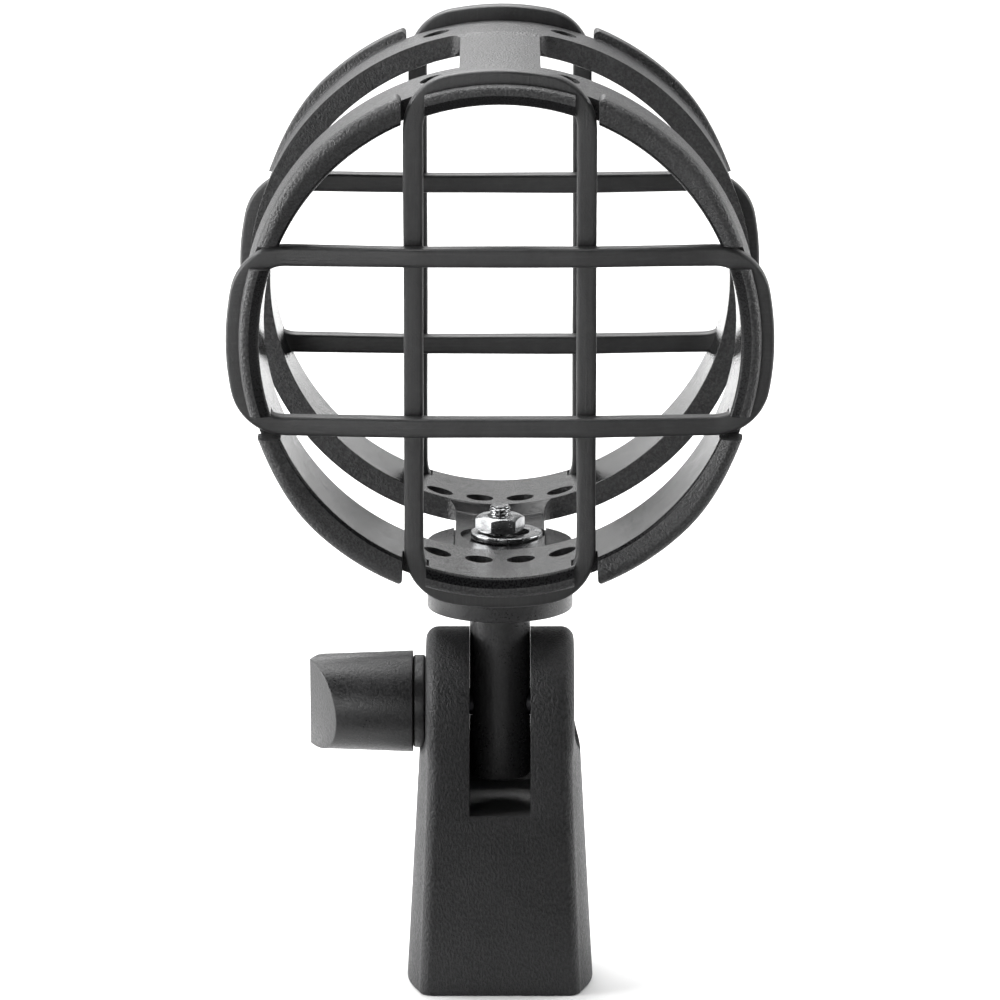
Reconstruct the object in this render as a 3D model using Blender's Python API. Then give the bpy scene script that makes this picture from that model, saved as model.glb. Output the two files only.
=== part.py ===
"""Elastic suspension mount for a microphone, on a swivelling stand adapter.

Metres, +Z up. The origin is the centre of the base's underside, on the axis of its stand thread.
The cage's ring axis runs along Y, and the clamp screw that the head tilts on runs along X.
Every dimension below is in millimetres, and new_part scales the finished shape to metres.
"""

from math import asin, cos, pi, radians, sin, sqrt

import bmesh
import bpy
from mathutils import Matrix, Vector

MM = 0.001

# Cage: two rings about one axis along Y, joined by a bridge at the top and one at the bottom.
RING_Z = 128.7
END_Y = 40.5
RING_DEPTH = 22.0
WAIST_R = 42.6
EDGE_R = 46.65
BRIDGE_INNER_R, BRIDGE_OUTER_R = 44.6, 46.25
BRIDGE_STEP = 1.6
TOP_BRIDGE_HALF, LOW_BRIDGE_HALF = 7.3, 8.2
WINDOW_CORNER_R = 2.0
ZONE_HALF_DEG = 18.2
NEXT_ZONE_DEG = 20.0
ZONE_STEPS, CORNER_STEPS = 8, 10

# Rim sections, each point as (distance behind the end face, radius). The sectors that carry a
# band have a groove, and the four sectors between them stand up as plain blocks.
BAND_RIM = (
    (0.4, 42.8), (0.0, 43.2), (0.0, 45.4), (0.35, 46.1), (1.0, 46.45),
    (1.95, 46.45), (1.95, 45.0), (6.05, 45.0), (6.05, 46.15),
)
BLOCK_RIM = (
    (1.2, 42.85), (0.0, 44.3), (0.0, 46.6), (0.3, 47.25), (1.0, 47.65),
    (2.2, 47.7), (4.0, 47.75), (5.8, 47.8), (6.15, 46.15),
)
BLOCK_TOP_R = 47.8
BLOCK_FALL, FALL_FROM_DEG = 1.1, 44.0

# Bands: square elastic loops with their corners cut off, each with two straight strands and two
# arcs in the ring's groove.
BAND_HALF, BAND_CORNER = 1.8, 0.55
BAND_Y = 36.5
BAND_ARC_R = 47.05
STRAND_X = 15.4
BEND_R = 8.2
CROSSING_LIFT = 1.95
# Each bend's centre across the opening, its distance along, and the angle it turns through.
BEND_X = STRAND_X - BEND_R
STRAND_REACH = sqrt((BAND_ARC_R - BEND_R) ** 2 - BEND_X**2)
BEND_TURN = pi / 2 - asin(BEND_X / (BAND_ARC_R - BEND_R))

NOTCH_HALF = 2.1
NOTCH_DEPTH = 6.3
NOTCH_FROM, NOTCH_TO = 34.0, 52.0
LIP_BACK = 1.9
BLOCK_CORNER_R = 1.0

# Holes beside the bridges: distances of the two rows along Y, and angles from the bridge's middle.
HOLE_R = 2.55
LOW_HOLES = ((-26.4, 23.0), (-15.3, -5.1, 5.1, 15.3))
TOP_HOLES = ((-24.0, 27.2), (-14.8, 14.8))

# Swivelling stem, which carries the cage on a saddle-topped disc.
PIVOT_Z = 52.85
STEM_R = 5.45
STEM_END_Z = 39.0
STEM_EDGE = 0.5
DISC_R = 13.45
DISC_Z, DISC_TOP_Z = 71.0, 83.5
DISC_EDGE = 0.4
DISC_ROOT = 1.0
SADDLE_HALF = 8.5
SADDLE_R = 46.55
GAP = 0.3

# Fastening of the cage on the disc.
STUD_R = 1.8
STUD_Z, STUD_TOP_Z = 75.0, 90.15
SEAT_R, SEAT_Z = 7.9, 83.95
WASHER_R, WASHER_BORE_R, WASHER_X = 6.6, 4.2, 1.2
WASHER_Z, WASHER_TOP_Z = 84.1, 85.2
NUT_FLATS, NUT_Z, NUT_TOP_Z = 7.94, 85.35, 88.2
NUT_CHAMFER = 0.35
NUT_TURN_DEG = 9.0

# Stand base: a tapered block with two ears about the stem.
BASE_DEPTH_HALF = 14.0
BASE_FACE_HALF = ((0.0, 15.0), (43.5, 13.4))
BASE_SIDE_HALF = ((0.0, 17.3), (43.5, 14.95))
SHOULDER_Z, EAR_Z = 43.5, 49.5
EAR_HALF = 13.7
EAR_R = 13.9
EAR_EDGE_R = 2.4
BASE_EDGE_R = 2.2
FOOT_EDGE = 0.4
SLOT_HALF, SLOT_Z = 5.65, 34.5
WEB_Y, WEB_TOP_Z = 12.0, 43.2

# Brass stand thread in the base.
INSERT_R, INSERT_BORE_R = 9.5, 7.5
INSERT_Z, INSERT_TOP_Z = 0.3, 16.3
THREAD_RELIEF_TOP_Z = 20.0

# Clamp across the ears.
SCREW_R = 2.5
SCREW_X, SCREW_END_X = -26.0, 13.2
COLLAR_R = 8.6
SPOT_FACE_R, SPOT_FACE_X = 9.1, 13.75
COLLAR_X, COLLAR_END_X = -15.85, -14.0
KNOB_RIDGE_X, KNOB_END_X = -35.2, -16.1
KNOB_OUTER_R, KNOB_INNER_R = 8.7, 9.4
KNOB_FACET_DEPTH = 4.9
KNOB_TURN_DEG = 12.0
KNOB_EDGE = 0.5
CLAMP_NUT_FLATS, CLAMP_NUT_X, CLAMP_NUT_END_X = 8.0, 9.3, 13.0

ROUND = 40
SMALL_ROUND = 16
SHARP_DEG = 32.0


def clear_scene():
    for obj in list(bpy.data.objects):
        bpy.data.objects.remove(obj, do_unlink=True)


def new_material(name, colour, roughness, metallic=0.0):
    material = bpy.data.materials.new(name)
    material.use_nodes = True
    shader = material.node_tree.nodes["Principled BSDF"]
    shader.inputs["Base Color"].default_value = (*colour, 1.0)
    shader.inputs["Roughness"].default_value = roughness
    shader.inputs["Metallic"].default_value = metallic
    return material


def new_axis(name, location):
    """An empty at a joint, in millimetres, for the moving pieces to hang from."""
    axis = bpy.data.objects.new(name, None)
    axis.location = Vector(location) * MM
    bpy.context.collection.objects.link(axis)
    return axis


def mesh_from(name, bm):
    bmesh.ops.recalc_face_normals(bm, faces=bm.faces)
    mesh = bpy.data.meshes.new(name)
    bm.to_mesh(mesh)
    bm.free()
    return mesh


def carved(solid, cutters):
    """The solid less each cutter, as one mesh made with the exact Boolean solver."""
    body = bpy.data.objects.new("body", mesh_from("body", solid))
    bpy.context.collection.objects.link(body)
    tools = []
    for cutter in cutters:
        tool = bpy.data.objects.new("cutter", mesh_from("cutter", cutter))
        bpy.context.collection.objects.link(tool)
        cut = body.modifiers.new("cut", "BOOLEAN")
        cut.operation, cut.solver, cut.object = "DIFFERENCE", "EXACT", tool
        tools.append(tool)
    bpy.context.view_layer.update()
    graph = bpy.context.evaluated_depsgraph_get()
    mesh = bpy.data.meshes.new_from_object(body.evaluated_get(graph))
    for used in (body, *tools):
        bpy.data.objects.remove(used, do_unlink=True)
    return mesh


def new_part(name, solid, material, axis=None, cutters=()):
    """Adds a named piece. Its origin is its joint's axis, or the world's origin if it is fixed."""
    mesh = carved(solid, cutters)
    mesh.name = name
    mesh.materials.clear()
    mesh.materials.append(material)
    mesh.transform(Matrix.Scale(MM, 4))
    part = bpy.data.objects.new(name, mesh)
    bpy.context.collection.objects.link(part)
    if axis:
        mesh.transform(Matrix.Translation(-axis.location))
        part.parent = axis
    mesh.shade_smooth()
    mesh.set_sharp_from_angle(angle=radians(SHARP_DEG))
    return part


def loft(rings, loop=False):
    """A closed solid through rings of points: capped at both ends, or joined up as a loop."""
    bm = bmesh.new()
    rows = [[bm.verts.new(point) for point in ring] for ring in rings]
    count = len(rows[0])
    for lower, upper in zip(rows, rows[1:] + rows[:1] if loop else rows[1:]):
        for i in range(count):
            j = (i + 1) % count
            bm.faces.new((lower[i], lower[j], upper[j], upper[i]))
    if not loop:
        bm.faces.new(rows[0])
        bm.faces.new(rows[-1])
    return bm


def joined(solids):
    """Several solids that don't touch each other, in one mesh."""
    whole = bmesh.new()
    for solid in solids:
        part = bpy.data.meshes.new("part")
        solid.to_mesh(part)
        solid.free()
        whole.from_mesh(part)
        bpy.data.meshes.remove(part)
    return whole


def on_axis(axis, along, radius, angle):
    """A point at a height along X, Y or Z through the origin, and a radius and angle about it."""
    u, v = radius * cos(angle), radius * sin(angle)
    return {"X": (along, u, v), "Y": (u, along, v), "Z": (u, v, along)}[axis]


def shifted(solid, offset):
    bmesh.ops.translate(solid, verts=solid.verts, vec=offset)
    return solid


def turned(axis, profile, sides):
    """A solid turned from (height, radius) points, with flat ends."""
    turn = 2 * pi / sides
    return loft([[on_axis(axis, h, r, i * turn) for i in range(sides)] for h, r in profile])


def turned_ring(axis, profile, sides):
    """A ring turned from a closed outline of (height, radius) points that stays off the axis."""
    turn = 2 * pi / sides
    return loft(
        [[on_axis(axis, h, r, i * turn) for h, r in profile] for i in range(sides)], loop=True
    )


def tube_profile(start, stop, inner, outer, edge):
    """Closed outline of a straight sleeve with its outer edges chamfered."""
    return (
        (start, inner), (stop, inner), (stop, outer - edge),
        (stop - edge, outer), (start + edge, outer), (start, outer - edge),
    )


def mixed(a, b, share):
    return a + (b - a) * share


def eased(share):
    """0 to 1 with a level start and end."""
    share = min(max(share, 0.0), 1.0)
    return share * share * (3 - 2 * share)


def level(table, z):
    """Straight-line value between two (height, value) points, held level beyond them."""
    (z0, a), (z1, b) = table
    return mixed(a, b, min(max((z - z0) / (z1 - z0), 0.0), 1.0))


def ring_section(rim):
    """Closed (y, radius) outline of the whole cage wall, from one end face to the other."""
    outside = [(END_Y - back, r) for back, r in rim[1:]]
    outside.append((END_Y - RING_DEPTH, EDGE_R))
    outside.append((END_Y - RING_DEPTH - BRIDGE_STEP, BRIDGE_OUTER_R))
    inside = [(END_Y - RING_DEPTH - BRIDGE_STEP, BRIDGE_INNER_R)]
    inside.append((END_Y - RING_DEPTH, WAIST_R))
    inside.append((END_Y - rim[0][0], rim[0][1]))
    rear = outside + [(-y, r) for y, r in reversed(outside)]
    return rear + [(-y, r) for y, r in reversed(inside)] + inside


def block_rim(from_vertical):
    """A block's rim section, which falls a little towards the cage's sides."""
    share = (from_vertical - FALL_FROM_DEG) / (90 - NEXT_ZONE_DEG - FALL_FROM_DEG)
    fall = BLOCK_FALL * eased(share)
    face = BLOCK_RIM[:2]
    return face + tuple((back, r - fall) for back, r in BLOCK_RIM[2:-1]) + BLOCK_RIM[-1:]


def cage_wall():
    """The two rings and their joining wall, before its windows, notches and holes are cut."""
    rings = []
    for quarter in range(4):
        for i in range(ZONE_STEPS + 1):
            rings.append((BAND_RIM, mixed(-ZONE_HALF_DEG, ZONE_HALF_DEG, i / ZONE_STEPS), quarter))
        for i in range(CORNER_STEPS + 1):
            degrees = mixed(NEXT_ZONE_DEG, 90 - NEXT_ZONE_DEG, i / CORNER_STEPS)
            from_vertical = degrees if quarter % 2 else 90 - degrees
            rings.append((block_rim(from_vertical), degrees, quarter))
    solid = loft(
        [
            [on_axis("Y", y, r, radians(degrees + 90 * quarter)) for y, r in ring_section(rim)]
            for rim, degrees, quarter in rings
        ],
        loop=True,
    )
    return shifted(solid, (0, 0, RING_Z))


def window_cutters(half, low, high):
    """Left and right openings between the rings, with rounded corners beside a bridge."""
    edge, r, far = END_Y - RING_DEPTH, WINDOW_CORNER_R, 60.0
    corner = []
    for i in range(5):
        angle = radians(22.5 * i)
        corner.append((half + r - r * cos(angle), r * sin(angle) + edge - r))
    outline = [(x, -y) for x, y in reversed(corner)] + corner + [(far, edge), (far, -edge)]
    for side in (1, -1):
        yield loft([[(side * x, y, RING_Z + z) for x, y in outline] for z in (low, high)])


def notch_outline():
    """The (across, outward) outline of one straight notch, which rounds off the block's corner."""
    wall = STRAND_X + NOTCH_HALF
    r = BLOCK_CORNER_R
    corner_z = sqrt((BLOCK_TOP_R - r) ** 2 - (wall + r) ** 2)
    around = asin((wall + r) / (BLOCK_TOP_R - r))
    corner = []
    for i in range(5):
        angle = mixed(pi, pi / 2 - around, i / 4)
        corner.append((wall + r + r * cos(angle), corner_z + r * sin(angle)))
    inside = wall - 2 * NOTCH_HALF
    start = [(wall, NOTCH_FROM), (inside, NOTCH_FROM), (inside, NOTCH_TO)]
    return start + [(corner[-1][0] + 0.9, NOTCH_TO)] + corner[::-1]


def bend_outline():
    """The (across, outward) outline of the room behind the lip that one of a band's bends needs."""
    clear = BEND_R - NOTCH_HALF + 0.05
    inside = []
    for i in range(7):
        angle = BEND_TURN * i / 6
        inside.append((BEND_X + clear * cos(angle), STRAND_REACH + clear * sin(angle)))
    out = Vector((BEND_X, STRAND_REACH)).normalized()
    return [(STRAND_X, STRAND_REACH)] + inside + [tuple(out * NOTCH_TO), (STRAND_X, NOTCH_TO)]


def rim_cutters(outline, near, far):
    """Sixteen prisms of an outline: the four chords' ends on each ring, mirrored about both planes."""
    prisms = []
    for quarter in range(4):
        turn = Matrix.Rotation(quarter * pi / 2, 2)
        for side in (1, -1):
            points = [turn @ Vector((side * x, z)) for x, z in outline]
            for y0, y1 in ((near, far), (-far, -near)):
                prisms.append(loft([[(p.x, y, RING_Z + p.y) for p in points] for y in (y0, y1)]))
    return prisms


def hole_cutters():
    """Round holes through the rings beside both bridges: four in each ring below, two above."""
    for base, (rows, angles) in ((0, TOP_HOLES), (180, LOW_HOLES)):
        for y in rows:
            for degrees in angles:
                hole = turned("Z", ((38.0, HOLE_R), (52.0, HOLE_R)), SMALL_ROUND)
                turn = Matrix.Rotation(radians(base + degrees), 3, "Y")
                bmesh.ops.rotate(hole, verts=hole.verts, matrix=turn)
                yield shifted(hole, (0, y, RING_Z))


def stud_hole_cutter():
    return turned("Z", ((80.0, STUD_R + GAP), (86.0, STUD_R + GAP)), SMALL_ROUND)


def cage_cutters():
    yield joined(window_cutters(LOW_BRIDGE_HALF, -60.0, 1.0))
    yield joined(window_cutters(TOP_BRIDGE_HALF, -1.0, 60.0))
    near = END_Y - NOTCH_DEPTH
    for prisms in (
        rim_cutters(notch_outline(), near, END_Y + 2.0),
        rim_cutters(bend_outline(), near + 0.05, END_Y - LIP_BACK),
    ):
        yield joined(prisms[0:4] + prisms[8:12])
        yield joined(prisms[4:8] + prisms[12:16])
    yield joined(hole_cutters())
    seat = turned("Z", ((SEAT_Z, SEAT_R), (100.0, SEAT_R)), ROUND)
    yield shifted(seat, (WASHER_X / 2, 0, 0))
    yield stud_hole_cutter()


def strand_lift(along):
    """How far a strand is pushed aside, from nothing at the ring to full at its two crossings."""
    share = (STRAND_REACH - abs(along)) / (STRAND_REACH - STRAND_X)
    return CROSSING_LIFT * min(share, 1.0)


def band_path():
    """(across, along, lift) points round a band: right strand up, over the top, and down."""
    quarter = []
    for share in (0.0, 0.2, 0.36, 0.41, 0.6, 0.8):
        along = STRAND_REACH * share
        quarter.append((STRAND_X, along, strand_lift(along)))
    for i in range(6):
        angle = BEND_TURN * i / 6
        quarter.append((BEND_X + BEND_R * cos(angle), STRAND_REACH + BEND_R * sin(angle), 0.0))
    for i in range(5):
        angle = mixed(BEND_TURN, pi / 2, i / 5)
        quarter.append((BAND_ARC_R * cos(angle), BAND_ARC_R * sin(angle), 0.0))
    top = [(0.0, BAND_ARC_R, 0.0)]
    right = [(x, -z, lift) for x, z, lift in reversed(quarter[1:])] + quarter
    left = [(-x, z, lift) for x, z, lift in reversed(right)]
    return right + top + left + [(0.0, -BAND_ARC_R, 0.0)]


def band(plane_y, upright):
    """A closed loop. At its crossings an upright band bows to +Y and a level one to -Y."""
    points = []
    for across, along, lift in band_path():
        y = plane_y + (lift if upright else -lift)
        x, z = (across, along) if upright else (along, -across)
        points.append(Vector((x, y, z + RING_Z)))
    near = BAND_HALF - BAND_CORNER
    eighth = ((BAND_HALF, near), (near, BAND_HALF))
    rings = []
    for i, point in enumerate(points):
        forward = (points[(i + 1) % len(points)] - points[i - 1]).normalized()
        side = forward.cross(Vector((0, 1, 0))).normalized()
        rise = side.cross(forward)
        ring = []
        for _ in range(4):
            ring += [point + u * side + v * rise for u, v in eighth]
            side, rise = rise, -side
        rings.append(ring)
    return loft(rings, loop=True)


def stem():
    return turned(
        "Z",
        (
            (STEM_END_Z, STEM_R - STEM_EDGE), (STEM_END_Z + STEM_EDGE, STEM_R),
            (DISC_Z - DISC_ROOT, STEM_R), (DISC_Z, STEM_R + DISC_ROOT),
            (DISC_Z, DISC_R - DISC_EDGE), (DISC_Z + DISC_EDGE, DISC_R),
            (DISC_TOP_Z - DISC_EDGE, DISC_R), (DISC_TOP_Z, DISC_R - DISC_EDGE),
        ),
        ROUND,
    )


def saddle_cutter():
    """The shallow channel across the disc that takes the lower bridge."""
    floor = []
    for i in range(9):
        x = mixed(-SADDLE_HALF, SADDLE_HALF, i / 8)
        floor.append((x, RING_Z - sqrt(SADDLE_R**2 - x * x)))
    outline = floor + [(SADDLE_HALF, 90.0), (-SADDLE_HALF, 90.0)]
    return loft([[(x, y, z) for x, z in outline] for y in (-20.0, 20.0)])


def stem_cutters():
    yield saddle_cutter()
    yield turned("Z", ((STUD_Z - GAP, STUD_R + GAP), (86.0, STUD_R + GAP)), SMALL_ROUND)
    bore = turned("X", ((-20.0, SCREW_R + GAP), (20.0, SCREW_R + GAP)), SMALL_ROUND)
    yield shifted(bore, (0, 0, PIVOT_Z))


def hexagon(flats, heights, chamfer, axis, bore):
    """A hexagonal nut on an axis, its outer corners chamfered, with a plain bore through it."""
    reach = flats / sqrt(3)
    start, stop = heights
    rings = []
    for height, cut in (
        (start, chamfer), (start + chamfer / 2, 0.0), (stop - chamfer / 2, 0.0), (stop, chamfer)
    ):
        ring = []
        for i in range(12):
            angle = radians(30 * i)
            radius = flats / 2 if i % 2 else reach
            ring.append(on_axis(axis, height, min(radius, reach - cut), angle))
        rings.append(ring)
    hole = turned(axis, ((start - 1, bore), (stop + 1, bore)), SMALL_ROUND)
    return loft(rings), hole


def base_outline(z):
    """One quarter of the base's plan at a height, from its front face round to its side."""
    face, side = level(BASE_FACE_HALF, z), level(BASE_SIDE_HALF, z)
    share = eased((z - SHOULDER_Z) / (EAR_Z - SHOULDER_Z))
    face, side = mixed(face, EAR_HALF, share), mixed(side, EAR_HALF, share)
    edge = BASE_EDGE_R
    quarter = []
    for i in range(5):
        angle = radians(22.5 * i)
        x = face - edge + edge * sin(angle)
        y = BASE_DEPTH_HALF - edge + edge * cos(angle)
        quarter.append((x, y))
    reach = BASE_DEPTH_HALF - edge
    for i in range(1, 5):
        y = reach * (1 - i / 4)
        bulge = (side - face) * (1 - (y / reach) ** 2)
        quarter.append((face + bulge, y))
    return quarter


def ear_outline(z):
    """One quarter of the ears' plan above the clamp axis, inside their rounded top edge."""
    rise = z - PIVOT_Z
    low = EAR_R - EAR_EDGE_R
    last = pi / 2 if rise <= low else asin(sqrt(max(1 - ((rise - low) / EAR_EDGE_R) ** 2, 0.0)))
    quarter = []
    for i in range(5):
        angle = last * i / 4
        r = low + EAR_EDGE_R * cos(angle)
        x = EAR_HALF - EAR_EDGE_R + EAR_EDGE_R * sin(angle)
        quarter.append((x, sqrt(max(r * r - rise * rise, 0.0))))
    x, y = quarter[-1]
    return quarter + [(x, y * (1 - i / 4)) for i in range(1, 5)]


def whole_outline(quarter, z):
    right = quarter + [(x, -y) for x, y in reversed(quarter[:-1])]
    return [(x, y, z) for x, y in right] + [(-x, y, z) for x, y in reversed(right)]


def base_block():
    heights = [FOOT_EDGE, 20.0, SHOULDER_Z, 44.5, 45.5, 46.5, 47.5, 48.5, EAR_Z]
    rings = [[(0.975 * x, 0.975 * y, 0.0) for x, y, _ in whole_outline(base_outline(0.0), 0.0)]]
    rings += [whole_outline(base_outline(z), z) for z in heights]
    for i in range(9):
        z = PIVOT_Z + (EAR_R - 0.12) * sin(pi / 2 * i / 8)
        rings.append(whole_outline(ear_outline(z), z))
    return loft(rings)


def slot_cutter():
    """The stem's slot, open at the front and, above a low web, at the rear."""
    outline = (
        (-20.0, SLOT_Z), (WEB_Y, SLOT_Z), (WEB_Y, WEB_TOP_Z),
        (20.0, WEB_TOP_Z), (20.0, 90.0), (-20.0, 90.0),
    )
    return loft([[(x, y, z) for y, z in outline] for x in (-SLOT_HALF, SLOT_HALF)])


def base_cutters():
    yield slot_cutter()
    for start, stop in ((-30.0, -SPOT_FACE_X), (SPOT_FACE_X, 30.0)):
        face = turned("X", ((start, SPOT_FACE_R), (stop, SPOT_FACE_R)), ROUND)
        yield shifted(face, (0, 0, PIVOT_Z))
    yield turned("Z", ((-1.0, INSERT_R + GAP), (INSERT_TOP_Z + GAP, INSERT_R + GAP)), ROUND)
    yield turned(
        "Z", ((10.0, INSERT_BORE_R + 0.4), (THREAD_RELIEF_TOP_Z, INSERT_BORE_R + 0.4)), ROUND
    )
    bore = turned("X", ((-20.0, SCREW_R + GAP), (20.0, SCREW_R + GAP)), SMALL_ROUND)
    yield shifted(bore, (0, 0, PIVOT_Z))
    pocket, _ = hexagon(CLAMP_NUT_FLATS + 2 * GAP, (CLAMP_NUT_X - GAP, 20.0), 0.0, "X", 1.0)
    yield shifted(pocket, (0, 0, PIVOT_Z))


def knob():
    """The knob's turned body, longer than it ends up, for its two end facets to be cut from."""
    slope = (KNOB_OUTER_R - KNOB_INNER_R) / (KNOB_RIDGE_X - KNOB_END_X)
    tip = KNOB_RIDGE_X - 1.0
    body = turned(
        "X",
        (
            (tip, KNOB_OUTER_R - slope), (KNOB_END_X - KNOB_EDGE, KNOB_INNER_R),
            (KNOB_END_X, KNOB_INNER_R - KNOB_EDGE),
        ),
        ROUND,
    )
    return shifted(body, (0, 0, PIVOT_Z))


def knob_cutters():
    """The wedge-shaped outer end, turned a little about X, and the blind bore for the screw."""
    reach = 2.0 * KNOB_OUTER_R
    back = KNOB_RIDGE_X + KNOB_FACET_DEPTH * reach / KNOB_OUTER_R
    front = KNOB_RIDGE_X - 5.0
    for side in (1, -1):
        outline = (
            (KNOB_RIDGE_X, 0.0), (back, side * reach), (front, side * reach), (front, -side * 0.5),
            (KNOB_RIDGE_X - 0.5 * KNOB_FACET_DEPTH / KNOB_OUTER_R, -side * 0.5),
        )
        wedge = loft([[(x, y, z) for x, y in outline] for z in (-15.0, 15.0)])
        turn = Matrix.Rotation(radians(KNOB_TURN_DEG), 3, "X")
        bmesh.ops.rotate(wedge, verts=wedge.verts, matrix=turn)
        yield shifted(wedge, (0, 0, PIVOT_Z))
    bore = turned("X", ((SCREW_X - GAP, SCREW_R + GAP), (0.0, SCREW_R + GAP)), SMALL_ROUND)
    yield shifted(bore, (0, 0, PIVOT_Z))


def rod(axis, start, stop, radius, edge, sides):
    """A plain round bar with chamfered ends."""
    return turned(
        axis,
        (
            (start, radius - edge), (start + edge, radius),
            (stop - edge, radius), (stop, radius - edge),
        ),
        sides,
    )


def build_base(plastic, brass, zinc):
    new_part("stand_base", base_block(), plastic, cutters=base_cutters())
    sleeve = tube_profile(INSERT_Z, INSERT_TOP_Z, INSERT_BORE_R, INSERT_R, 0.5)
    new_part("thread_insert", turned_ring("Z", sleeve, ROUND), brass)
    nut, hole = hexagon(
        CLAMP_NUT_FLATS, (CLAMP_NUT_X, CLAMP_NUT_END_X), NUT_CHAMFER, "X", SCREW_R + GAP
    )
    shift = (0, 0, PIVOT_Z)
    new_part("clamp_nut", shifted(nut, shift), zinc, cutters=[shifted(hole, shift)])


def build_clamp(plastic, black_steel):
    axis = new_axis("clamp_axis", (0, 0, PIVOT_Z))
    shift = (0, 0, PIVOT_Z)
    ring = tube_profile(COLLAR_X, COLLAR_END_X, SCREW_R + GAP, COLLAR_R, 0.3)
    new_part("clamp_collar", shifted(turned_ring("X", ring, ROUND), shift), plastic, axis)
    new_part("clamp_knob", knob(), plastic, axis, knob_cutters())
    screw = rod("X", SCREW_X, SCREW_END_X, SCREW_R, 0.5, SMALL_ROUND)
    new_part("clamp_screw", shifted(screw, shift), black_steel, axis)


def build_head(stem_plastic, cage_plastic, rubber, zinc):
    axis = new_axis("tilt_axis", (0, 0, PIVOT_Z))
    new_part("swivel_stem", stem(), stem_plastic, axis, stem_cutters())
    new_part("cage", cage_wall(), cage_plastic, axis, cage_cutters())
    for place, plane in (("front", -BAND_Y), ("rear", BAND_Y)):
        new_part(f"band_{place}_vertical", band(plane, True), rubber, axis)
        new_part(f"band_{place}_horizontal", band(plane, False), rubber, axis)
    stud = rod("Z", STUD_Z, STUD_TOP_Z, STUD_R, 0.4, SMALL_ROUND)
    new_part("cage_stud", stud, zinc, axis)
    ring = tube_profile(WASHER_Z, WASHER_TOP_Z, WASHER_BORE_R, WASHER_R, 0.2)
    washer = shifted(turned_ring("Z", ring, ROUND), (WASHER_X, 0, 0))
    new_part("cage_washer", washer, zinc, axis)
    nut, hole = hexagon(NUT_FLATS, (NUT_Z, NUT_TOP_Z), NUT_CHAMFER, "Z", STUD_R + GAP)
    bmesh.ops.rotate(nut, verts=nut.verts, matrix=Matrix.Rotation(radians(NUT_TURN_DEG), 3, "Z"))
    new_part("cage_nut", nut, zinc, axis, [hole])


def main():
    clear_scene()
    base_plastic = new_material("grained_black_plastic", (0.022, 0.022, 0.023), 0.5)
    knob_plastic = new_material("knob_black_plastic", (0.02, 0.02, 0.021), 0.45)
    stem_plastic = new_material("stem_black_plastic", (0.018, 0.018, 0.019), 0.35)
    cage_plastic = new_material("cage_black_plastic", (0.02, 0.02, 0.021), 0.4)
    rubber = new_material("band_rubber", (0.035, 0.035, 0.036), 0.6)
    zinc = new_material("zinc_plated_steel", (0.72, 0.73, 0.74), 0.25, 1.0)
    black_steel = new_material("black_steel", (0.05, 0.05, 0.055), 0.4, 0.8)
    brass = new_material("brass", (0.78, 0.6, 0.3), 0.3, 1.0)
    build_base(base_plastic, brass, zinc)
    build_clamp(knob_plastic, black_steel)
    build_head(stem_plastic, cage_plastic, rubber, zinc)


main()
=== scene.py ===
"""Looks of the microphone suspension mount: its fine pieces, their materials, light and camera.

Every piece is shaped in millimetres, in the CAD model's own frame, and new_piece scales it to
metres, lets it ride on its CAD body and puts it in its CAD node's place.
"""

from math import asin, cos, pi, radians, sin, sqrt, tan

import bmesh
import bpy
from mathutils import Matrix, Vector


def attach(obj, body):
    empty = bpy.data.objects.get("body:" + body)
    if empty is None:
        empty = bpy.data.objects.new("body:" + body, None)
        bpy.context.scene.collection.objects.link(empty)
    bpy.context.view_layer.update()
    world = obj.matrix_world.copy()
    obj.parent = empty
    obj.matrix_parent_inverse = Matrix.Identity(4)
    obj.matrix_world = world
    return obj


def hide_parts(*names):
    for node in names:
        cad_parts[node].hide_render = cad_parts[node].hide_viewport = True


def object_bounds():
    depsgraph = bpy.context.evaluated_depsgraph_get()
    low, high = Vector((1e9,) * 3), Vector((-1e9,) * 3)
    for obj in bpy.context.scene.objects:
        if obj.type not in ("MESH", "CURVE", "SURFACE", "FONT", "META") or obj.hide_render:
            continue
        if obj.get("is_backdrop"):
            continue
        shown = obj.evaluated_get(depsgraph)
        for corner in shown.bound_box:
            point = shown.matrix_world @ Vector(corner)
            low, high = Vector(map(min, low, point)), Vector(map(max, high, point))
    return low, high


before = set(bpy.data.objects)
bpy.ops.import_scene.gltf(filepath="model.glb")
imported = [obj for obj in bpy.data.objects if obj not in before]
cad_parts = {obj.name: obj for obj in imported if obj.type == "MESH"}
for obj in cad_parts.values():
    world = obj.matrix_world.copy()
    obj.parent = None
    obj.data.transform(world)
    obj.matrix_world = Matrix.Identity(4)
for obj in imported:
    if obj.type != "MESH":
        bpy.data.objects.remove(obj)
cad_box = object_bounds()

MM = 0.001

# Cage: two rings about one axis along Y, joined by a bridge at the top and one at the bottom.
RING_Z = 128.7
END_Y = 40.5
RING_DEPTH = 22.0
WAIST_R = 42.6
EDGE_R = 46.65
BRIDGE_INNER_R, BRIDGE_OUTER_R = 44.6, 46.25
BRIDGE_STEP = 1.6
TOP_BRIDGE_HALF, LOW_BRIDGE_HALF = 7.3, 8.2
WINDOW_CORNER_R = 2.0
ZONE_HALF_DEG, ZONE_STEPS = 18.2, 24
NEXT_ZONE_DEG, BLOCK_STEPS = 20.0, 30
CAGE_SOFT = 0.3

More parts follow.
